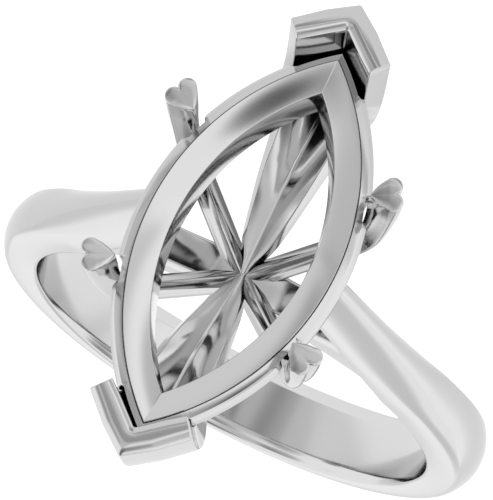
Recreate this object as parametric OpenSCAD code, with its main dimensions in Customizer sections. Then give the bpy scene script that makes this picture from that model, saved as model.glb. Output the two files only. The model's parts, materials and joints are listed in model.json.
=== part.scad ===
// Marquise engagement ring mounting, six prongs and cathedral shoulders, all in one piece of white gold.
// It lies on its side, on the point of one V prong and on the edge of the shank.
// Each module works in the ring's worn frame: the finger hole runs along Y through the middle of
// the ring, Z goes up through the head, and the long way of the marquise is along Y.
// The last module lays the ring down. All sizes are in millimetres.

/* [Shank] */
// Radius of the finger hole
bore_r = 8.675; // [8.4:0.025:9]
// Thickness of the shank along its middle line
shank_t = 1.87; // [1.8:0.01:2]
// Width of the shank halfway up the finger hole
shank_mid_w = 2.58; // [2.5:0.02:2.7]
// Width that the shank loses with each millimetre of height
shank_taper = 0.094; // [0.09:0.002:0.1]
// Radius of the rounded outside of the shank
dome_r = 1.86; // [1.84:0.01:1.95]
// Radius of the eased inside of the shank
comfort_r = 3.57; // [3.4:0.01:3.8]
// Width of the flat that lies on the finger
inner_flat_w = 2.48; // [2.3:0.02:2.6]

/* [Shoulders and rail] */
// Angle above the middle where each shoulder leaves the round of the shank
shoulder_angle = 30; // [29:0.5:31]
// Thickness of each shoulder
shoulder_t = 2.1; // [2:0.01:2.2]
// Height of the top of the shoulders
shoulder_top = 14.05; // [13.8:0.01:14.2]
// Distance from the middle of the head to the end of each shoulder
shoulder_end = 3.4; // [3.2:0.05:3.5]
// Thickness of the rail that closes the finger hole under the head
rail_t = 1.375; // [1.3:0.005:1.5]
// Width of that rail
rail_w = 1.46; // [1.3:0.02:1.6]

/* [Seat ring] */
// Distance from the middle to the centre of each side's arc
arc_offset = 6.2; // [6.1:0.02:6.3]
// Radius of the bright crest line
crest_r = 9.61; // [9.55:0.01:9.65]
// Height of the crest line
crest_z = 14.82; // [14.75:0.01:14.9]
// Radius of the inner edge of the bevel
bevel_r = 8.73; // [8.7:0.01:8.78]
// Height of the inner edge of the bevel
bevel_z = 14.43; // [14.35:0.01:14.5]
// Radius of the outer edge of the shoulder around the crest
flange_r = 10.13; // [10.1:0.01:10.18]
// Height of that outer edge
flange_z = 14.3; // [14.25:0.01:14.4]
// Height of the underside of the seat ring
seat_bottom = 13.0; // [12.9:0.02:13.1]

/* [V prongs] */
// Distance from the middle to the outer point of each V
v_apex_y = 9.12; // [9:0.01:9.2]
// Half of the distance between the outer ends of the two wings
v_wing_x = 1.96; // [1.9:0.01:2]
// Distance from the middle to the outer end of each wing
v_wing_y = 7.5; // [7.45:0.01:7.6]
// Thickness of the wings, measured across
v_wall = 0.84; // [0.8:0.01:0.9]
// Height of the top of the V prongs
v_top = 16.42; // [16.3:0.01:16.5]

/* [Heart prongs] */
// Direction of the heart prongs, measured from the short axis of the marquise
heart_angle = 39.2; // [38.5:0.1:40]
// How far each heart is turned from that direction, so that its point faces the edge of the stone
heart_turn = 11.3; // [9:0.1:13]
// Distance from the middle to the centre of each heart top
heart_reach = 5.13; // [5.05:0.01:5.2]
// Height of the centre of each heart top
heart_top = 16.42; // [16.3:0.01:16.5]
// Radius of the two round lobes of a heart
heart_lobe_r = 0.335; // [0.32:0.005:0.35]
// Half of the distance between the centres of the two lobes
heart_lobe_x = 0.28; // [0.26:0.005:0.3]
// Distance from the line of the lobe centres to the point of the heart
heart_point = 0.81; // [0.78:0.01:0.84]

/* [Star] */
// Height at which the inner ridges of all six prongs meet
star_z = 10.29; // [10.25:0.01:10.35]
// Distance along the V blades to their first bend
blade_bend_y = 3.3; // [3.2:0.05:3.5]
// Height of that bend
blade_bend_z = 11.62; // [11.5:0.01:11.7]
// Distance from the middle to the first bend of the heart prongs
heart_bend_d = 3.1; // [3:0.05:3.2]
// Height of that bend
heart_bend_z = 10.95; // [10.9:0.01:11]

/* [Hidden] */
$fn = 96;

far = 40;
lap = 0.03;
gold = "gainsboro";
outer_r = bore_r + shank_t;
rail_r = bore_r + rail_t;
dome_centre = outer_r - dome_r;
comfort_centre = bore_r + sqrt(comfort_r * comfort_r - inner_flat_w * inner_flat_w / 4);

// Half of the shank's width at the height z
function half_width(z) = shank_mid_w / 2 - shank_taper * z / 2;

// Inner corner of the V, for wings of the same thickness all along
v_half_angle = atan(v_wing_x / (v_apex_y - v_wing_y));
v_corner_y = v_apex_y - v_wall / sin(v_half_angle);

// The line of the V's inner corner, from the star to the top, as [distance outward, height]
v_path = [
    [0, star_z], [blade_bend_y, blade_bend_z], [6.75, 11.9], [7.45, 12.6], [7.8, 13.7], [v_corner_y, v_top]
];
// Half of the leaf's width under the seat ring, as [distance outward, half width]
leaf = [
    [-0.3, 0.35], [0.6, 0.55], [1.5, 0.79], [2.5, 0.98], [3.5, 1.15], [4.5, 1.3], [5.6, 1.5],
    [6.7, v_wing_x], [far, v_wing_x]
];
// The line of the heart prongs' middle, from inside the rail to the top. The middle of their section
// is halfway between the point of the heart and the far side of its lobes.
heart_low = star_z - 0.69;
heart_path = [
    [0, heart_low], [heart_bend_d, heart_bend_z], [4.35, 11.7], [4.85, 13.3], [heart_reach, heart_top]
];
// Half of the heart prongs' width, as [height, half width]: they are narrower under the seat ring
heart_taper = [[0, 0.46], [12.5, 0.47], [14.2, 0.55], [15.4, 0.68], [far, 0.68]];

function mirrored(points) =
    concat(points, [for (i = [len(points) - 1 : -1 : 0]) [-points[i][0], points[i][1]]]);
function direction(p, q) = atan2(q[1] - p[1], q[0] - p[0]);
// Direction of the cut at point i of a path: square to the path at its ends, halfway at a bend
function cut_direction(path, i) =
    i == 0 ? 0
    : i == len(path) - 1 ? direction(path[i - 1], path[i])
    : (direction(path[i - 1], path[i]) + direction(path[i], path[i + 1])) / 2;

// Outer edge of the V at point i of its path
function v_outer(i) =
    let (cut = cut_direction(v_path, i), turn = cut - direction(v_path[i - 1], v_path[i]))
    v_path[i] + (v_apex_y - v_corner_y) / cos(turn) * [sin(cut), -cos(cut)];

// The place where the shank's rounded outside meets its side face, at the foot of the ring.
// It is where the side face, half_mid + slope * r, crosses the circle of the dome.
slope = shank_taper / 2;
half_mid = shank_mid_w / 2;
quad_a = 1 + slope * slope;
quad_b = half_mid * slope - dome_centre;
quad_c = half_mid * half_mid + dome_centre * dome_centre - dome_r * dome_r;
foot_r = (-quad_b + sqrt(quad_b * quad_b - quad_a * quad_c)) / quad_a;
foot_y = half_width(-foot_r);

// The ring lies on that edge and on the part of the V prong that reaches furthest out from it
lie_slopes = [for (i = [1 : len(v_path) - 1]) (v_outer(i)[0] - foot_y) / (v_outer(i)[1] + foot_r)];
lie_angle = atan(max(lie_slopes));

// Turns a shape drawn along Z so that it runs in the direction a of the outward-and-up plane
module along(p, a) {
    translate([0, p[0], p[1]]) rotate([a - 90, 0, 0]) children();
}

// A bar of one section, the child, mitred at each bend of the path. The section's +Y is the outer side.
// Its straights lap a little at each mitre, so that they join into one solid.
module bent_bar(path) {
    last = len(path) - 2;
    for (i = [0 : last]) {
        a = direction(path[i], path[i + 1]);
        reach = norm(path[i + 1] - path[i]);
        end_lap = i == last ? 0 : lap;
        intersection() {
            along(path[i], a) translate([0, 0, -3]) linear_extrude(height = reach + 6) children();
            along(path[i], cut_direction(path, i)) translate([-5, -5, -lap]) cube([10, 10, far]);
            along(path[i + 1], cut_direction(path, i + 1)) translate([-5, -5, end_lap - far]) cube([10, 10, far]);
        }
    }
}

// Everything between the two side faces, which come together towards the top of the ring
module between_sides() {
    top = 20;
    bottom = -12;
    rotate([90, 0, 90]) linear_extrude(height = far, center = true)
        polygon([
            [half_width(bottom), bottom], [half_width(top), top],
            [-half_width(top), top], [-half_width(bottom), bottom]
        ]);
}

// Section of the shank: distance from the hole's axis by width, drawn smaller by inset on its round sides
module shank_section(inset = 0) {
    intersection() {
        translate([dome_centre, 0]) circle(r = dome_r - inset);
        translate([comfort_centre, 0]) circle(r = comfort_r - inset);
        translate([bore_r - 0.5, -3]) square([3, 6]);
    }
}

// The round part of the shank, from shoulder to shoulder under the finger.
// It ends a little inside each shoulder.
module shank() {
    end = shoulder_angle + 1.5;
    color(gold) rotate([90, 0, 0]) rotate([0, 0, 180 - end])
        rotate_extrude(angle = 180 + 2 * end) shank_section();
}

// A cathedral shoulder: the shank goes on straight and rises to the seat ring, a little thicker on
// its under side. It starts inside the round part, a hair smaller than it.
module shoulder() {
    long = 12;
    start = 0.3;
    thicker_from = 0.6;
    color(gold) intersection() {
        rotate([0, -shoulder_angle, 0]) union() {
            translate([0, 0, -start]) linear_extrude(height = long) shank_section(0.02);
            translate([outer_r - shoulder_t, -3, thicker_from]) cube([0.5, 6, long - thicker_from]);
        }
        translate([shoulder_end, -5, 0]) cube([far, 10, shoulder_top]);
    }
}

// The rail that closes the finger hole under the head, from inside one shoulder to inside the other
module finger_rail() {
    from = shoulder_angle + 9;
    color(gold) rotate([90, 0, 0]) rotate([0, 0, from])
        rotate_extrude(angle = 180 - 2 * from) translate([bore_r - 0.5, -rail_w / 2]) square([rail_t + 0.5, rail_w]);
}

// Shank, shoulders and rail, between the two side faces
module band() {
    color(gold) intersection() {
        union() {
            shank();
            finger_rail();
            for (s = [0, 1]) mirror([s, 0, 0]) shoulder();
        }
        between_sides();
    }
}

// One side of the seat ring, an arc that ends in the middle of each tip
module seat_side() {
    wall = 0.17;
    chamfer = 0.14;
    intersection() {
        translate([-arc_offset, 0, 0]) rotate_extrude() polygon([
            [bevel_r - wall, seat_bottom],
            [bevel_r, bevel_z],
            [crest_r, crest_z],
            [crest_r + chamfer, crest_z - 0.04],
            [flange_r - 0.05, flange_z + 0.12],
            [flange_r, flange_z],
            [flange_r - 0.05, flange_z - 0.3],
            [flange_r - 0.25, seat_bottom + 0.2],
            [flange_r - 0.4, seat_bottom]
        ]);
        translate([0, -far / 2, 0]) cube([far, far, far]);
    }
}

// The marquise seat ring that carries the stone's edge
module seat_ring() {
    color(gold) {
        seat_side();
        mirror([1, 0, 0]) seat_side();
    }
}

// Section of a V prong, with its inner corner at the origin
module v_section() {
    apex = v_apex_y - v_corner_y;
    wing_y = v_wing_y - v_corner_y;
    in_x = v_wing_x - v_wall * cos(v_half_angle);
    in_y = wing_y - v_wall * sin(v_half_angle);
    polygon([[0, apex], [v_wing_x, wing_y], [in_x, in_y], [0, 0], [-in_x, in_y], [-v_wing_x, wing_y]]);
}

// A V prong: it stands at a tip of the marquise and runs under the ring to the star as a leaf
module v_prong() {
    color(gold) intersection() {
        bent_bar(v_path) v_section();
        linear_extrude(height = v_top) polygon(mirrored([for (p = leaf) [p[1], p[0]]]));
    }
}

// Section of a heart prong, with the point of the heart inward
module heart_section() {
    side = atan2(heart_lobe_x, heart_point);
    slant = norm([heart_lobe_x, heart_point]);
    open = side + asin(heart_lobe_r / slant);
    run = sqrt(slant * slant - heart_lobe_r * heart_lobe_r);
    lobe_y = (heart_point - heart_lobe_r) / 2;
    tip = lobe_y - heart_point;
    cleft = lobe_y + sqrt(heart_lobe_r * heart_lobe_r - heart_lobe_x * heart_lobe_x);
    for (s = [-1, 1]) translate([s * heart_lobe_x, lobe_y]) circle(r = heart_lobe_r);
    polygon([
        [0, tip],
        [run * sin(open), tip + run * cos(open)],
        [heart_lobe_x, lobe_y],
        [0, cleft - 0.02],
        [-heart_lobe_x, lobe_y],
        [-run * sin(open), tip + run * cos(open)]
    ]);
}

// A heart prong: one bar of heart section from the star to the heart-shaped top
module heart_prong() {
    color(gold) intersection() {
        bent_bar(heart_path) rotate([0, 0, -heart_turn]) heart_section();
        rotate([90, 0, 0]) linear_extrude(height = far, center = true)
            polygon(mirrored([for (p = heart_taper) [p[1], p[0]]]));
    }
}

// All the metal, in the worn frame
module metal() {
    difference() {
        union() {
            band();
            seat_ring();
            for (s = [0, 1]) mirror([0, s, 0]) v_prong();
            for (across = [0, 1], along = [0, 1])
                mirror([across, 0, 0]) mirror([0, along, 0]) rotate([0, 0, heart_angle - 90]) heart_prong();
        }
        rotate([90, 0, 0]) cylinder(r = bore_r, h = far, center = true);
    }
}

// The ring as it lies on its side, with the head towards -Y
module ring_mounting() {
    head_tip = v_outer(len(v_path) - 1);
    head_end = head_tip[0] * sin(lie_angle) + head_tip[1] * cos(lie_angle);
    foot_end = dome_centre * cos(lie_angle) + dome_r;
    rest = foot_y * cos(lie_angle) + foot_r * sin(lie_angle);
    color(gold) translate([0, (head_end - foot_end) / 2, rest])
        rotate([0, 0, 180]) rotate([lie_angle - 90, 0, 0]) metal();
}

ring_mounting();
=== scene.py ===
# %% [markdown]
# # Marquise engagement ring mounting
# The object is a ring mounting without its stone, in polished white gold: a domed band, two cathedral
# shoulders, a pointed oval seat for a marquise stone, two V prongs and four prongs with heart-shaped tops.
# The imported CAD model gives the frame: its finger hole says where the ring lies and how it leans.

# %% Open the frame
import json
import math

import bmesh
import bpy
from mathutils import Matrix, Vector


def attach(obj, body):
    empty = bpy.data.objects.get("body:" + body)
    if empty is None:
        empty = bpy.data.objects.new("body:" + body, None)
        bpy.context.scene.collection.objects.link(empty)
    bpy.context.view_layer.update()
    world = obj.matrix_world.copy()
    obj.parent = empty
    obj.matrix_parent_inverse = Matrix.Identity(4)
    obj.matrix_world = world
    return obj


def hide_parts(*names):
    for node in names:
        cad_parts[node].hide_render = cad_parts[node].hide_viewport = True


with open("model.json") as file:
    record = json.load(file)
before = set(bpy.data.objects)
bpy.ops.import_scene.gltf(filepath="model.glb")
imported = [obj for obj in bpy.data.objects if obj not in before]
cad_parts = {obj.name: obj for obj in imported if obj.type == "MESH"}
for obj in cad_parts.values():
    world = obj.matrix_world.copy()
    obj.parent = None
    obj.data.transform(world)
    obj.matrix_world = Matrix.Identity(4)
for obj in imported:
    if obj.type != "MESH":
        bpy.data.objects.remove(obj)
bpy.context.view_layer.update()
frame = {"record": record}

# %% [markdown]
# ## The ring's own directions
# A ring is easiest to draw upright, as it is worn: the finger hole runs along Y, the head points up along Z,
# and all sizes are in millimetres. One matrix then lays every piece down where the CAD model lies. It is
# worked out from the finger hole in the record, so the two models can't drift apart.

# %% Worn frame to row frame
MM = 0.001
finger = next(mount for mount in frame["record"]["mounts"] if mount["name"] == "finger")
worn_y = -Vector(finger["axis"]).normalized()
worn_x = Vector((-1, 0, 0))
worn_z = worn_x.cross(worn_y)
TURN = Matrix((worn_x, worn_y, worn_z)).transposed()
LAY_DOWN = Matrix.Translation(finger["pos_m"]) @ TURN.to_4x4() @ Matrix.Scale(MM, 4)
bore_r = finger["dims"]["r_mm"]
print("finger hole", bore_r * 2, "mm across, head points along", [round(c, 3) for c in worn_z])

# %% [markdown]
# ## From rings of points to a piece
# Nearly every piece of a cast mounting is one section carried along a line. So the main tool here is a
# loft: rings of points, one after the other, joined by quads. Boolean cuts would be quicker to write, but
# they leave long thin faces, and on a polished surface each of those shows as a kink in the reflections.

# %% Loft and add a piece
CREASE = math.radians(32)   # an edge that bends more than this is shown sharp
pieces = []


def add_piece(name, points, faces):
    """Makes a mesh from points of the worn ring and lays it down as a piece of the part."""
    mesh = bpy.data.meshes.new(name)
    mesh.from_pydata(points, [], faces)
    mesh.transform(LAY_DOWN)
    net = bmesh.new()
    net.from_mesh(mesh)
    bmesh.ops.recalc_face_normals(net, faces=net.faces)
    for face in net.faces:
        face.smooth = True
    for edge in net.edges:
        edge.smooth = len(edge.link_faces) == 2 and edge.calc_face_angle() < CREASE
    net.to_mesh(mesh)
    net.free()
    piece = bpy.data.objects.new(name, mesh)
    bpy.context.scene.collection.objects.link(piece)
    even = piece.modifiers.new("even shading", "WEIGHTED_NORMAL")
    even.keep_sharp = True
    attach(piece, "root")
    pieces.append(piece)
    print(name, len(mesh.vertices), "points", len(mesh.polygons), "faces")


def loft(rings, closed=False):
    """Points and faces of a skin over rings of points. An open skin gets a face on both of its ends."""
    count, last = len(rings[0]), len(rings)
    points = [point for ring in rings for point in ring]
    faces = []
    for i in range(last if closed else last - 1):
        j = (i + 1) % last
        for k in range(count):
            m = (k + 1) % count
            faces.append((i * count + k, i * count + m, j * count + m, j * count + k))
    if not closed:
        faces.append(tuple(range(count)))
        faces.append(tuple(range((last - 1) * count, last * count)))
    return points, faces


# %% [markdown]
# ## Round corners
# No edge of a tumbled and polished casting is perfectly sharp. A small radius catches a thin line of light,
# and that line is what the eye reads as metal. Each section is therefore drawn from corners that carry
# their own radius.

# %% Round the corners of a section
def rounded(corners, strokes=4):
    """Corners are (across, along, radius), and each becomes an arc of short strokes."""
    outline = []
    for i, (a, b, radius) in enumerate(corners):
        here = Vector((a, b))
        before = (Vector(corners[i - 1][:2]) - here).normalized()
        after = (Vector(corners[(i + 1) % len(corners)][:2]) - here).normalized()
        half = before.angle(after) / 2
        centre = here + (before + after).normalized() * radius / math.sin(half)
        start = here + before * radius / math.tan(half) - centre
        end = here + after * radius / math.tan(half) - centre
        for k in range(strokes + 1):
            arm = start.lerp(end, k / strokes).normalized() * radius
            outline.append(tuple(centre + arm))
    return outline


def inset(corners, amounts):
    """Each side, from one corner to the next, moves inward by its own amount."""
    sides = []
    for i, (a, b, _) in enumerate(corners):
        along = (Vector(corners[(i + 1) % len(corners)][:2]) - Vector((a, b))).normalized()
        inward = Vector((-along.y, along.x))
        sides.append((Vector((a, b)) + inward * amounts[i], along))
    moved = []
    for i, (_, _, radius) in enumerate(corners):
        (p, u), (q, v) = sides[i - 1], sides[i]
        reach = (q - p).cross(v) / u.cross(v)
        moved.append((*(p + u * reach), radius))
    return moved


# %% [markdown]
# ## Eased lines
# Bends in a casting are eased too. Cutting the corners off a line of points, again and again, turns it into
# a smooth curve that stays inside the straight one. Then the curve is stepped off in equal strokes.

# %% Ease a line and step along it
def eased(points, passes=4):
    """Each pass cuts the corners off, a quarter of the way along the lines on both sides."""
    for _ in range(passes):
        cut = [points[0]]
        for p, q in zip(points, points[1:]):
            cut.append([0.75 * a + 0.25 * b for a, b in zip(p, q)])
            cut.append([0.25 * a + 0.75 * b for a, b in zip(p, q)])
        points = cut + [points[-1]]
    return points


def read_off(table, x):
    """The height of a line of (x, height) points at x."""
    for (x0, h0), (x1, h1) in zip(table, table[1:]):
        if x <= x1:
            break
    share = min(max((x - x0) / (x1 - x0), 0), 1)
    return h0 + (h1 - h0) * share


def stepped(points, stroke):
    """Points at equal distances along a line, each with the angle in which the line runs there."""
    lengths = [0]
    for p, q in zip(points, points[1:]):
        lengths.append(lengths[-1] + math.dist(p, q))
    count = round(lengths[-1] / stroke)
    across = list(zip(lengths, (p[0] for p in points)))
    up = list(zip(lengths, (p[1] for p in points)))
    nudge = stroke / 2
    steps = []
    for i in range(count + 1):
        s = lengths[-1] * i / count
        here = (read_off(across, s), read_off(up, s))
        back = (read_off(across, max(s - nudge, 0)), read_off(up, max(s - nudge, 0)))
        on = (read_off(across, min(s + nudge, lengths[-1])), read_off(up, min(s + nudge, lengths[-1])))
        steps.append((*here, math.atan2(on[1] - back[1], on[0] - back[0])))
    return steps


# %% [markdown]
# ## The shank and its shoulders
# The band is domed outside, eased inside for comfort, and its two flat sides come together towards the top.
# At thirty degrees above the middle it stops following the finger and runs straight up to the head, as the
# cathedral shoulders. The dome turns into a narrow, tall crown on the way. One loft carries the section
# round the finger and on up both shoulders, so the light runs along the band without a break.

# %% Shank sizes
outer_r = 10.545          # middle line of the outside, from the finger hole's axis
dome_r = 1.86             # radius of the rounded outside
comfort_r = 3.57          # radius of the eased inside
flat_half = 1.24          # half of the width that lies flat on the finger
comfort_centre = bore_r + math.sqrt(comfort_r ** 2 - flat_half ** 2)
edge_r = 0.4              # soft corner between the side faces and the dome
inner_edge_r = 0.16       # corner between the side faces and the inside
mid_w = 1.29              # half of the width, halfway up the finger hole
taper = 0.047             # half width that is lost with each millimetre of height
width_at = 9.6            # how far out a section is as wide as the taper says
shoulder = math.radians(30)
shoulder_under = 8.43     # underside of the shoulders, square to them
shoulder_end = 3.4        # where the shoulders stop, from the middle of the head
shoulder_top = 14.5       # inside the edge of the seat ring
crown_blend = 3           # length of shoulder in which the dome turns into the crown
# Where the flat side of a shoulder ends and its crown begins: distance along the shoulder, distance out
side_end = eased([[0, 10.2], [1.5, 9.9], [3, 9.66], [4.5, 9.42], [6, 9.22], [7.5, 9.2], [12, 9.3]], 6)


# %% Section of the shank
def half_width(z):
    return mid_w - taper * z


def crown_point(w, angle, along):
    """A point of the outside whose surface faces `angle` away from straight out."""
    centre = outer_r - dome_r
    soft = centre + math.sqrt((dome_r - edge_r) ** 2 - (w - edge_r) ** 2)
    if math.sin(angle) * (dome_r - edge_r) < w - edge_r:
        dome = (centre + dome_r * math.cos(angle), dome_r * math.sin(angle))
    else:
        dome = (soft + edge_r * math.cos(angle), w - edge_r + edge_r * math.sin(angle))
    rise = outer_r - read_off(side_end, along)
    length = math.hypot(rise * math.cos(angle), w * math.sin(angle))
    tall = (outer_r - rise + rise ** 2 * math.cos(angle) / length, w ** 2 * math.sin(angle) / length)
    share = min(max(along / crown_blend, 0), 1)
    share = share * share * (3 - 2 * share)
    return [a + (b - a) * share for a, b in zip(dome, tall)]


def inner_edge(y, along):
    """Distance out to the inside of the band, y away from its middle line."""
    if along <= 0:
        return max(bore_r, comfort_centre - math.sqrt(comfort_r ** 2 - y * y))
    round_part = math.sqrt(max(bore_r ** 2 - along ** 2, 0))
    return max(shoulder_under, round_part)


outside_strokes, corner_strokes, inside_strokes = 20, 6, 14


def half_section(w, along):
    """Half of the section from the crown to the middle of the inside, as (distance out, width)."""
    turns = [math.pi / 2 * k / outside_strokes for k in range(outside_strokes + 1)]
    points = [crown_point(w, turn, along) for turn in turns]
    side = w - inner_edge_r
    foot = inner_edge(side, along)
    for k in range(corner_strokes, -1, -1):
        turn = math.pi / 2 * k / corner_strokes
        points.append((foot + inner_edge_r * (1 - math.cos(turn)), side + inner_edge_r * math.sin(turn)))
    for k in range(1, inside_strokes + 1):
        y = side * (1 - k / inside_strokes)
        points.append((inner_edge(y, along), y))
    return points


# %% Build the shank
def shank_ring(angle, along, side):
    """The section at an angle round the finger, or some way along a shoulder, where it is cut to length."""
    w = half_width(width_at * math.sin(angle) + along * math.cos(angle))
    half = half_section(w, along)
    ring = []
    for out, y in half + [(out, -y) for out, y in half[-2:0:-1]]:
        run = along
        if along > 0:
            to_head = (out * math.cos(angle) - shoulder_end) / math.sin(angle)
            to_top = (shoulder_top - out * math.sin(angle)) / math.cos(angle)
            run = min(along, to_head, to_top)
        x = out * math.cos(angle) - run * math.sin(angle)
        z = out * math.sin(angle) + run * math.cos(angle)
        ring.append((side * x, y * half_width(z) / w, z))
    return ring


shoulder_length = 11.6    # longer than the cuts at its end leave
straight_stroke = 0.2
round_stroke = 1.5        # degrees
straight = [shoulder_length - straight_stroke * i for i in range(round(shoulder_length / straight_stroke))]
bend_count = round((math.degrees(shoulder) + 90) / round_stroke)    # down to the foot
bends = [shoulder - math.radians(round_stroke * i) for i in range(bend_count + 1)]
rings = [shank_ring(shoulder, along, 1) for along in straight]
rings += [shank_ring(angle, 0, 1) for angle in bends]
rings += [shank_ring(angle, 0, -1) for angle in bends[-2::-1]]
rings += [shank_ring(shoulder, along, -1) for along in reversed(straight)]
add_piece("shank", *loft(rings))
print("shank is", round(2 * half_width(-outer_r), 2), "mm wide at the foot")

# %% [markdown]
# ## The finger rail
# A curved bridge under the head closes the finger hole. It is narrower than the shoulders and starts
# inside them, where it is thicker, so that it comes out of each shoulder in a fillet.

# %% Finger rail
rail_out = 10.05          # its outside, from the finger hole's axis
rail_half = 0.72          # half of its width
rail_from, rail_to = 42, 138    # degrees round the finger
rail_fillet = 0.9         # how much thicker it gets where it runs into a shoulder
fillet_full = 20          # degrees from each end to where the fillet is thickest
fillet_from, fillet_run = 21, 15    # degrees from each end to where it starts to thin out, and on to its end
rings = []
for degrees in range(rail_from, rail_to + 1):
    angle = math.radians(degrees)
    end = min(degrees - rail_from, rail_to - degrees)
    thinned = min(max((end - fillet_from) / fillet_run, 0), 1)
    top = rail_out + rail_fillet * min(end / fillet_full, 1) * (1 - thinned) ** 2
    rail_section = rounded([(bore_r, -rail_half, 0.1), (top, -rail_half, 0.14), (top, rail_half, 0.14),
                            (bore_r, rail_half, 0.1)])
    rings.append([(out * math.cos(angle), y, out * math.sin(angle)) for out, y in rail_section])
add_piece("finger_rail", *loft(rings))

# %% [markdown]
# ## The seat ring
# The stone's edge lies on a pointed oval ring: two arcs that meet in a mitre at each tip. Its top slopes
# inward, and outside its bright crest a rounded shoulder steps down. That shoulder is cut away around each
# prong, so that the prongs stand free of it.

# %% Seat ring
arc_offset = 6.2          # from the middle to the centre of each arc
lip_r = 9.91              # what is left of the shoulder where it is cut away beside a prong
# Corners of its section: distance from the arc's centre, height, and radius. A fine groove runs round
# the outside of the crest.
seat_profile = rounded([
    (8.56, 13.0, 0.08), (9.72, 13.0, 0.1), (9.93, 13.25, 0.2), (10.13, 14.1, 0.2),
    (10.13, 14.42, 0.12), (9.98, 14.64, 0.12), (9.7, 14.73, 0.006), (9.68, 14.67, 0.002),
    (9.65, 14.82, 0.012), (8.74, 14.43, 0.05)])
heart_at = math.radians(17)      # direction of the heart prongs from the arc's centre
heart_gap = 0.42                 # half of the cut around a heart prong
v_gap_from = math.radians(41.6)  # direction from which the shoulder makes room for the V prong
gap_round = 0.22                 # radius at the ends of each cut


def shoulder_share(angle):
    """How much of the seat ring's shoulder is left, from 0 in the middle of a cut to 1."""
    gap = min(abs(abs(angle) - heart_at) * lip_r - heart_gap, (v_gap_from - abs(angle)) * lip_r)
    part = min(max(gap / gap_round, 0), 1)
    return math.sqrt(1 - (1 - part) ** 2)


arc_strokes = 360         # from tip to tip
rings = []
for side, order in ((1, range(arc_strokes)), (-1, range(arc_strokes, 0, -1))):
    for i in order:
        ring = []
        for out, z in seat_profile:
            angle = (2 * i / arc_strokes - 1) * math.acos(arc_offset / out)
            r = min(out, lip_r) + max(out - lip_r, 0) * shoulder_share(angle)
            x = r * math.cos(angle) - arc_offset
            ring.append((side * x, r * math.sin(angle), z))
        rings.append(ring)
add_piece("seat_ring", *loft(rings, closed=True))

# %% [markdown]
# ## The V prongs
# A V prong covers each tip of the marquise. Under the seat it runs to the middle as a leaf-shaped blade
# with a valley along it. So the section is a V whose width, wall and ends change along the way, and the
# line that it follows is the valley. Boxes and bevels couldn't follow such a change without a step.

# %% Lines of the V prongs
# The valley, as distance from the middle and height
v_line = eased([[-0.6, 10.03], [0, 10.29], [1.7, 10.97], [3.4, 11.66], [5.2, 11.86], [6.75, 11.9],
                [7.45, 12.6], [7.8, 13.7], [8.03, 16.42]], 7)
# Each of the other lists says how one size changes with the distance of the valley from the middle.
# The first is half of the width, then come the thickness of each half and the width of its edge
leaf = eased([[-1, 0.08], [-0.1, 0.1], [0.9, 0.62], [1.5, 0.79], [2.5, 0.98], [3.5, 1.15], [4.5, 1.3],
              [5.6, 1.5], [6.7, 1.96], [9, 1.96]], 6)
wall = eased([[-1, 0.5], [4.6, 0.55], [6.2, 0.84], [9, 0.84]], 6)
slant = eased([[-1, 0.2], [4.6, 0.24], [6.2, 0.53], [9, 0.53]], 6)
# Slope of each half, and radius of the valley between them
fold = eased([[-1, 0.18], [2, 0.2], [3.5, 0.45], [5.5, 0.78], [7, 0.827], [9, 0.827]], 6)
valley_r = eased([[-1, 0.2], [3, 0.2], [6, 0.12], [9, 0.08]], 6)
# How far the outer faces bulge, and the inner ones
belly = eased([[-1, 0.01], [6, 0.01], [7.4, 0.1], [9, 0.1]], 6)
bow = eased([[-1, 0.01], [2, 0.02], [3.5, 0.06], [5, 0.06], [6, 0.01], [9, 0.01]], 6)

# %% Section of a V prong
point_r = 0.1             # radius at the outer point
wing_end_r = 0.05         # radius at the edges of the wings, where they are wide enough for it
belly_r = 1.5             # radius in the middle of each outer face
bend_at = 0.6             # where an inner face bends most, as a share of its width from the valley
bend_reach = 0.35         # how much of the face the bend takes up on each side of that
sharpest_r, flattest_r = 0.002, 10


def v_corners(out, soft=0.0):
    """Corners where the valley is `out` from the middle: the outer point, then round by the left."""
    w, t, slope = read_off(leaf, out), read_off(wall, out), read_off(fold, out)
    inner_w = w - min(read_off(slant, out), w / 2)
    point = t * math.hypot(1, slope)
    # Where the top's outline has moved in by `soft`, the wings' ends are sharper and the middle is rounder
    end_r = max(min(wing_end_r, w / 10) - 0.14 * soft, sharpest_r)
    face = inner_w * math.hypot(1, slope)
    bend_x, sag = bend_at * inner_w, read_off(bow, out)
    bend_r = min(2 * bend_reach * bend_at * (1 - bend_at) * face ** 2 / sag, flattest_r)
    ends = [(w / 2, point - slope * w / 2 + read_off(belly, out), belly_r), (w, point - slope * w, end_r),
            (inner_w, -slope * inner_w, end_r), (bend_x, -slope * bend_x - sag, bend_r)]
    left = [(-x, q, r) for x, q, r in ends]
    return [(0, point, point_r + 0.6 * soft), *left, (0, 0, read_off(valley_r, out) + soft), *reversed(ends)]


def v_ring(corners, step, side, lift=0.0):
    """The section square to the line at one step, or `lift` beyond it; side is the sign of y."""
    out, z, angle = step
    return [(x, side * (out + q * math.sin(angle) + lift * math.cos(angle)),
             z - q * math.cos(angle) + lift * math.sin(angle)) for x, q in rounded(corners, 7)]


# %% Build the V prongs
prong_stroke = 0.1        # from section to section
v_steps = stepped(v_line, prong_stroke)
top_step = v_steps[-1]
crown_half = 0.42         # from each edge of the top to its middle
crown_rise = 0.15         # how much higher the middle is
crown_edge = 0.02         # width of the soft edge of the top
crown_low = 0.03          # how far that edge lies below the end of the line
crown_flat = 0.03         # half width of what is left in the middle
crown_strokes = 12
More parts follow.
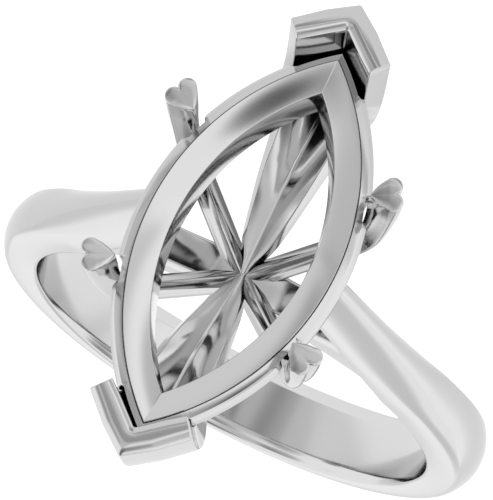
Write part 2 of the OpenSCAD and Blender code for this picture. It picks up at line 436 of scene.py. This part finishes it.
# The rounded top: how high it is above the end of the line, and how far its outline has moved in
v_crown = [(-0.3, 0), (-0.07, 0), (-0.045, 0.008)]
for k in range(crown_strokes + 1):
    part = k / crown_strokes
    v_crown.append((crown_rise * (1 - (1 - part) ** 2) - crown_low,
                    crown_edge + (crown_half - crown_flat - crown_edge) * part))
wing_edge_in = 0.05       # the wings' edges move in no further than this
# The top starts below the last few steps of the line, and so takes their place
for name, side in (("v_prong_back", 1), ("v_prong_front", -1)):
    rings = [v_ring(v_corners(step[0]), step, side) for step in v_steps[:-4]]
    for lift, inward in v_crown:
        amounts = [inward] * 10
        amounts[2] = amounts[7] = min(inward, wing_edge_in)     # the two wings' edges
        rings.append(v_ring(inset(v_corners(top_step[0], inward), amounts), top_step, side, lift))
    add_piece(name, *loft(rings))

# %% [markdown]
# ## The heart prongs
# The other four prongs are bars of heart section, with the point of the heart towards the stone. They rise
# from the star in the middle, bend under the seat and lean outward. The section is two round lobes, joined
# to the point by sides that are nearly straight. A curve drawn by hand would be quicker, but these few
# sizes keep all four hearts alike and can be set from the photo one by one.

# %% Line and section of a heart prong
heart_angle = math.radians(39.2)    # direction of the prongs from the middle
# The line from the star up, as distance from the middle and height
heart_line = eased([[-0.3, 9.48], [0, 9.6], [1.7, 10.34], [3.1, 10.95], [4.55, 11.6], [4.95, 13.6],
                    [5.13, 16.42]], 7)
heart_size = eased([[9, 0.74], [11.5, 0.76], [13, 0.8], [14.5, 0.9], [15.6, 1], [17, 1]], 5)   # by height
heart_turn = eased([[9, 0], [11, 0], [12.5, 11.3], [17, 11.3]], 5)   # degrees that the section is turned
lobe_r = 0.335
lobe_x, lobe_q = 0.28, 0.17         # middle of a lobe, across the prong and away from the stone
point_q = lobe_q - 0.81             # the point of the heart
cleft_q = lobe_q + math.sqrt(lobe_r ** 2 - lobe_x ** 2)
side_bow = 0.05                     # how far the sides bulge
lobe_short = 0.1                    # angle by which a lobe ends short of the cleft
side_strokes, lobe_strokes = 8, 20


def heart_outline():
    """The heart from its point round by the right lobe, the cleft and the left lobe."""
    reach = math.hypot(lobe_x, lobe_q - point_q)
    open_angle = math.atan2(lobe_x, lobe_q - point_q) + math.asin(lobe_r / reach)
    run = math.sqrt(reach ** 2 - lobe_r ** 2)
    right = [(0.02, point_q + 0.008)]    # the point is a little blunt, and so is the cleft
    for k in range(1, side_strokes):
        share = k / side_strokes
        bulge = side_bow * 4 * share * (1 - share)
        right.append((run * share * math.sin(open_angle) + bulge,
                      point_q + run * share * math.cos(open_angle) - bulge / 2))
    cleft_angle = math.acos(-lobe_x / lobe_r) - lobe_short
    for k in range(lobe_strokes + 1):
        turn = -open_angle + (cleft_angle + open_angle) * k / lobe_strokes
        right.append((lobe_x + lobe_r * math.cos(turn), lobe_q + lobe_r * math.sin(turn)))
    right.append((0.01, cleft_q + 0.002))
    return [(0, point_q)] + right + [(0, cleft_q)] + [(-x, q) for x, q in reversed(right)]


def heart_ring(points, step, quarter, size):
    """points are (across, outward, up along the prong); quarter is the sign of x and y."""
    out, z, angle = step
    turn = math.radians(read_off(heart_turn, z))
    ring = []
    for across, outward, lift in points:
        x = size * (across * math.cos(turn) - outward * math.sin(turn))
        q = size * (outward * math.cos(turn) + across * math.sin(turn))
        d = out + q * math.sin(angle) + lift * math.cos(angle)
        ring.append((quarter[0] * (d * math.cos(heart_angle) - x * math.sin(heart_angle)),
                     quarter[1] * (d * math.sin(heart_angle) + x * math.cos(heart_angle)),
                     z - q * math.cos(angle) + lift * math.sin(angle)))
    return ring


# %% Build the heart prongs
heart_steps = stepped(heart_line, prong_stroke)
outline = heart_outline()
heart_end = (*heart_steps[-1][:2], math.radians(95))   # the top leans a little towards the stone
# The soft edge round the top: how high it is above the end of the line, and its size
heart_edge = [(-0.08, 1.0), (-0.05, 0.995), (-0.025, 0.97), (-0.02, 0.95)]
quarters = ((1, 1), (-1, 1), (-1, -1), (1, -1))
for i, quarter in enumerate(quarters):
    bar = [(x, q, 0) for x, q in outline]
    rings = [heart_ring(bar, step, quarter, read_off(heart_size, step[1])) for step in heart_steps[:-2]]
    for lift, size in heart_edge:
        rings.append(heart_ring([(x, q, lift) for x, q in outline], heart_end, quarter, size))
    add_piece(f"heart_prong_{i + 1}", *loft(rings))

# %% [markdown]
# ## The heart tops
# Each half of a heart top is a low cushion of its own, and the two meet in a crease from the cleft to the
# point. So each half is lofted from the point outward, with a cushion-shaped section. One dome over the
# whole heart would be simpler, but it would have no crease. Higher cushions show streaks of everything
# round the ring, and then the eye loses the heart.

# %% Heart tops
top_rise, full_width = 0.04, 0.6    # height of a cushion above its rim, where it is this wide
top_ridge = 0.2           # where it is highest, as a share of the way from the crease to the rim
top_size = 0.95           # size of the top, where the prong's soft edge ends
top_low = 0.015           # how far its rim lies below the end of the prong's line
top_root = 0.05           # how deep it goes into the prong
crease_end = 0.12         # length in which the crease comes down to the rim at the cleft
narrowest = 0.004         # so that no ring closes up
lengthwise, crosswise = 32, 14      # strokes
right_side = [(q, x) for x, q in outline if x >= 0]
outer_side = right_side[:right_side.index(max(right_side))]


def half_top(side):
    """Rings of one half of the top, as (across, outward, up)."""
    rings = []
    from_q, to_q = point_q + 0.004, lobe_q + lobe_r - 0.002
    crease_depth = (top_ridge / (1 - top_ridge)) ** 2
    for j in range(lengthwise + 1):
        q = from_q + (to_q - from_q) * (1 - math.cos(math.pi * j / lengthwise)) / 2
        inner = 0 if q < cleft_q else lobe_x - math.sqrt(max(lobe_r ** 2 - (q - lobe_q) ** 2, 0))
        width = max(read_off(outer_side, q) - inner, narrowest)
        rise = top_rise * width / full_width
        crease = (1 - crease_depth) * min(max((cleft_q - q) / crease_end, 0), 1)
        ring = [(side * inner, q, -top_root)]
        for k in range(crosswise + 1):
            u = (1 - math.cos(math.pi * k / crosswise)) / 2
            cushion = 1 - ((u - top_ridge) / (1 - top_ridge)) ** 2
            if u < top_ridge:
                cushion = 1 - (1 - crease) * (1 - u / top_ridge) ** 2
            ring.append((side * (inner + width * u), q, rise * cushion - top_low))
        rings.append(ring + [(side * (inner + width), q, -top_root)])
    return rings


for i, quarter in enumerate(quarters):
    points, faces = [], []
    for side in (1, -1):
        rings = [heart_ring(ring, heart_end, quarter, top_size) for ring in half_top(side)]
        more, shell = loft(rings)
        faces += [tuple(k + len(points) for k in face) for face in shell]
        points += more
    add_piece(f"heart_top_{i + 1}", points, faces)

# %% [markdown]
# ## One casting
# The real mounting is cast and soldered into one piece of metal, and so the CAD model has one node for it.
# Every piece made above takes the place of a part of that node.

# %% Take the CAD node's place
for piece in pieces:
    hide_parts("ring_mounting")
print(len(pieces), "pieces stand for the mounting")

# %% [markdown]
# ## White gold
# White gold for a ring like this is an alloy of gold with palladium or nickel, polished to a mirror and
# plated with a thin layer of rhodium. The rhodium makes it colourless, so the eye sees the room in it, only
# darker, and no colour of its own. Polishing leaves lines too fine to see one by one: they soften the
# reflections, which the roughness does, and the noise stands for the few that are coarser.

# %% Colours and nodes
def linear(hex_colour):
    """An sRGB colour as Blender's linear one."""
    channels = [int(hex_colour[i:i + 2], 16) / 255 for i in (1, 3, 5)]
    return [c / 12.92 if c <= 0.04045 else ((c + 0.055) / 1.055) ** 2.4 for c in channels] + [1]


def add_node(tree, kind, settings=None, inputs=None, links=None):
    """Adds a node. settings are its properties, inputs are socket values, links are socket: output."""
    node = tree.nodes.new(kind)
    for name, value in (settings or {}).items():
        setattr(node, name, value)
    for name, value in (inputs or {}).items():
        node.inputs[name].default_value = value
    for name, output in (links or {}).items():
        tree.links.new(output, node.inputs[name])
    return node


# %% Polished white gold
polish_lines = 9          # in each millimetre, coarser than the real ones so that they show at all
polish_depth = 0.02       # millimetres
gold = bpy.data.materials.new("rhodium_plated_white_gold")
gold.use_nodes = True
tree = gold.node_tree
tree.nodes.clear()
place = add_node(tree, "ShaderNodeTexCoord")
worn = add_node(tree, "ShaderNodeMapping", {"vector_type": "TEXTURE"},
                {"Rotation": TURN.to_euler(), "Location": Vector(finger["pos_m"])},
                {"Vector": place.outputs["Object"]})
lines = add_node(tree, "ShaderNodeTexNoise", None, {"Scale": polish_lines / MM, "Detail": 2},
                 {"Vector": worn.outputs[0]})
bump = add_node(tree, "ShaderNodeBump", None, {"Strength": 0.02, "Distance": polish_depth * MM},
                {"Height": lines.outputs[0]})
metal = add_node(tree, "ShaderNodeBsdfPrincipled", None,
                 {"Base Color": linear("#CECECE"), "Metallic": 1, "Roughness": 0.12},
                 {"Normal": bump.outputs[0]})
add_node(tree, "ShaderNodeOutputMaterial", None, None, {"Surface": metal.outputs[0]})
for piece in pieces:
    piece.data.materials.append(gold)
print(gold.name, "is on", len(pieces), "pieces")

# %% [markdown]
# ## Floor
# The floor is matt grey paper with a painted glow, though it is no lamp. The camera sees it white all over,
# as a product photo's background is. The metal sees the painted glow. It has painted bright pools, painted
# dark patches of shade and a painted grey band, which stand in for the light and shade on white paper in a
# studio.
# Without them the undersides of the prongs would look flat. A lit floor with real cards round it would do
# the same, but each card would also darken what the camera sees.

# %% Floor
floor_mesh = bpy.data.meshes.new("floor")
floor_mesh.from_pydata([(-1, -1, 0), (1, -1, 0), (1, 1, 0), (-1, 1, 0)], [], [(0, 1, 2, 3)])
floor = bpy.data.objects.new("floor", floor_mesh)
bpy.context.scene.collection.objects.link(floor)
# Each painted spot of the floor: its middle and its inner and outer radius in metres, and the painted light
# that it adds, which is painted shade where it is below zero
painted_spots = [
    # The first spot is a painted pool of light, and the others are painted shade.
    (0, 0.012, 0.004, 0.014, 0.25),         # bright, under the foot
    (-0.011, -0.031, 0.004, 0.01, -0.5),    # dark, in front of the head
    (0.001, -0.031, 0.005, 0.011, -0.55),
    (0, -0.003, 0.003, 0.0065, -0.65),      # dark, under the head
    (0.014, -0.14, 0.08, 0.1, -0.4),        # dark, farther away on the same side
]
# Painted shade: the floor's glow is painted grey far out in this one direction, up to the horizon.
painted_grey_side = (0.27, -0.96, 0)             # direction in which the floor stays grey up to the horizon

# %% Painted glow, brighter on one side
eased_step = {"interpolation_type": "SMOOTHSTEP"}
painted_glow_paper = bpy.data.materials.new("paper_with_painted_glow")
painted_glow_paper.use_nodes = True
tree = painted_glow_paper.node_tree
tree.nodes.clear()
matt = add_node(tree, "ShaderNodeBsdfDiffuse", None, {"Color": linear("#808080")})
where = add_node(tree, "ShaderNodeTexCoord")
# Painted light: the glow is painted brighter on one side of the ring and darker on the other.
painted_side_glow = add_node(tree, "ShaderNodeVectorMath", {"operation": "DOT_PRODUCT"}, {1: (1, 0.5, 0)},
                 {0: where.outputs["Object"]})
painted_glow = add_node(tree, "ShaderNodeMapRange", eased_step,
                {"From Min": -0.03, "From Max": -0.008, "To Min": 1.05, "To Max": 0.75},
                {"Value": painted_side_glow.outputs["Value"]})

# %% The painted pools of light and patches of shade
# Each spot adds painted light to the glow where its amount is above zero, and painted shade where it is
# below.
for x, y, inner, outer, more in painted_spots:
    off = add_node(tree, "ShaderNodeVectorMath", {"operation": "DISTANCE"}, {1: (x, y, 0)},
                   {0: where.outputs["Object"]})
    painted_spot = add_node(tree, "ShaderNodeMapRange", eased_step,
                    {"From Min": inner, "From Max": outer, "To Min": more, "To Max": 0},
                    {"Value": off.outputs["Value"]})
    painted_glow = add_node(tree, "ShaderNodeMath", {"operation": "ADD"}, None,
                    {0: painted_glow.outputs[0], 1: painted_spot.outputs[0]})
print("floor has", len(painted_spots), "soft spots")

# %% Painted grey band up to the horizon
heading = add_node(tree, "ShaderNodeVectorMath", {"operation": "NORMALIZE"}, None,
                   {0: where.outputs["Object"]})
ahead = add_node(tree, "ShaderNodeVectorMath", {"operation": "DOT_PRODUCT"}, {1: painted_grey_side},
                 {0: heading.outputs[0]})
painted_grey_sector = add_node(tree, "ShaderNodeMapRange", eased_step,
                  {"From Min": 0.7, "From Max": 0.85, "To Min": 0, "To Max": -0.4},
                  {"Value": ahead.outputs["Value"]})
away = add_node(tree, "ShaderNodeVectorMath", {"operation": "LENGTH"}, None, {0: where.outputs["Object"]})
far = add_node(tree, "ShaderNodeMapRange", eased_step,
               {"From Min": 0.19, "From Max": 0.24, "To Min": 0, "To Max": 1},
               {"Value": away.outputs["Value"]})
painted_grey_band = add_node(tree, "ShaderNodeMath", {"operation": "MULTIPLY"}, None,
                {0: painted_grey_sector.outputs[0], 1: far.outputs[0]})
painted_glow = add_node(tree, "ShaderNodeMath", {"operation": "ADD"}, None, {0: painted_glow.outputs[0], 1: painted_grey_band.outputs[0]})

# %% Painted glow, white for the camera
# The camera sees the painted glow at full white at least. The metal sees its painted light and shade.
seen = add_node(tree, "ShaderNodeLightPath")
painted_glow_strength = add_node(tree, "ShaderNodeMath", {"operation": "MAXIMUM"}, None,
                      {0: seen.outputs["Is Camera Ray"], 1: painted_glow.outputs[0]})
painted_emission = add_node(tree, "ShaderNodeEmission", None, {"Color": (1, 1, 1, 1)},
                 {"Strength": painted_glow_strength.outputs[0]})
both = add_node(tree, "ShaderNodeAddShader", None, None, {0: matt.outputs[0], 1: painted_emission.outputs[0]})
add_node(tree, "ShaderNodeOutputMaterial", None, None, {"Surface": both.outputs[0]})
floor_mesh.materials.append(painted_glow_paper)

# %% [markdown]
# ## Light
# Polished metal shows nothing but its surroundings. Product photographers put it in a white tent and hang
# dark cards where the metal would otherwise look flat. Here the tent is the world, and each card is a soft
# dark patch in it, given by its direction from the ring and its size. Lamps would show as hard bright
# shapes in the metal.

# %% White tent with dark cards
tent_light = 1.2
# Each patch: longitude and latitude round the worn ring in degrees, half angle, width of its soft edge,
# and how much of the light it leaves
patches = [
    (117, 74, 19, 10, 0.55),     # opening above the head, where the camera looks in
    (168, 63, 10, 8, 0.55),      # beside the opening: keeps streaks out of the heart tops
    (-140, 68, 20, 14, 0.62),
    (-55, 45, 14, 16, 0.65),     # grey post on the camera's side, and darker things near it
    (-86, 38, 18, 14, 0.2),
    (-150, 46, 10, 12, 0.5),
    (-78, 5, 17, 12, 0.15),      # black cards that the heart prongs' inner parts see
    (-15, 13, 9, 14, 0.35),
    (-174, 20, 5, 6, 0.3),
    (-60, -42, 20, 30, 0.7),     # grey cards on both sides, for the bands along the shoulders
    (-160, -38, 10, 24, 0.74),
    (-12, 58.5, 6, 8, 0.2),      # dark cards over the right side of the head
    (-30, 62, 8, 12, 0.45),
    (168, 44, 14, 20, 0.62),     # grey card behind the left side of the head
]
world = bpy.data.worlds.new("tent")
bpy.context.scene.world = world
world.use_nodes = True
tree = world.node_tree
tree.nodes.clear()
direction = add_node(tree, "ShaderNodeTexCoord")
light = add_node(tree, "ShaderNodeValue")
light.outputs[0].default_value = tent_light
for longitude, latitude, half_angle, soft, left in patches:
    lon, lat = math.radians(longitude), math.radians(latitude)
    toward = TURN @ Vector((math.cos(lat) * math.cos(lon), math.cos(lat) * math.sin(lon), math.sin(lat)))
    facing = add_node(tree, "ShaderNodeVectorMath", {"operation": "DOT_PRODUCT"}, {1: toward},
                      {0: direction.outputs["Generated"]})
    inner = math.cos(math.radians(max(half_angle - soft / 2, 0)))
    outer = math.cos(math.radians(half_angle + soft / 2))
    patch = add_node(tree, "ShaderNodeMapRange", eased_step,
                     {"From Min": outer, "From Max": inner, "To Min": 1, "To Max": left},
                     {"Value": facing.outputs["Value"]})
    light = add_node(tree, "ShaderNodeMath", {"operation": "MULTIPLY"}, None,
                     {0: light.outputs[0], 1: patch.outputs[0]})
cloth = add_node(tree, "ShaderNodeBackground", None, {"Color": (1, 1, 1, 1)}, {"Strength": light.outputs[0]})
add_node(tree, "ShaderNodeOutputWorld", None, None, {"Surface": cloth.outputs[0]})
print("tent has", len(patches), "patches")

# %% [markdown]
# ## Camera
# The camera looks at the ring as the photograph does: from above the head, a little from the side, with a
# long lens. It is set out from the ring's own directions.

# %% Camera
view_distance = 112.0               # from the aim point, in millimetres
view_turn = math.radians(-63.04)    # round the head, from the ring's X axis
view_height = math.radians(73.41)   # above the ring's XY plane
view_roll = math.radians(0.22)
aim = Vector((-1.486, 3.205, 1.444))
lens = 202.9                        # millimetres, on a frame 36 mm high
back = Vector((math.cos(view_height) * math.cos(view_turn), math.cos(view_height) * math.sin(view_turn),
               math.sin(view_height)))
across = Vector((0, 0, 1)).cross(back).normalized()
across = Matrix.Rotation(view_roll, 3, back) @ across
camera_data = bpy.data.cameras.new("camera")
camera_data.sensor_fit = "VERTICAL"
camera_data.sensor_height = camera_data.sensor_width = 36
camera_data.lens = lens
camera_data.clip_start, camera_data.clip_end = 0.001, 10
camera = bpy.data.objects.new("camera", camera_data)
bpy.context.scene.collection.objects.link(camera)
axes = Matrix((TURN @ across, TURN @ back.cross(across), TURN @ back)).transposed()
camera.matrix_world = Matrix.Translation(LAY_DOWN @ (aim + back * view_distance)) @ axes.to_4x4()
bpy.context.scene.camera = camera
bpy.context.scene.view_settings.view_transform = "Standard"
bpy.context.scene.cycles.glossy_bounces = 2    # light is followed over two reflections in the metal
print("camera is", round(math.degrees(math.asin((TURN @ back).z)), 1), "degrees above the floor")
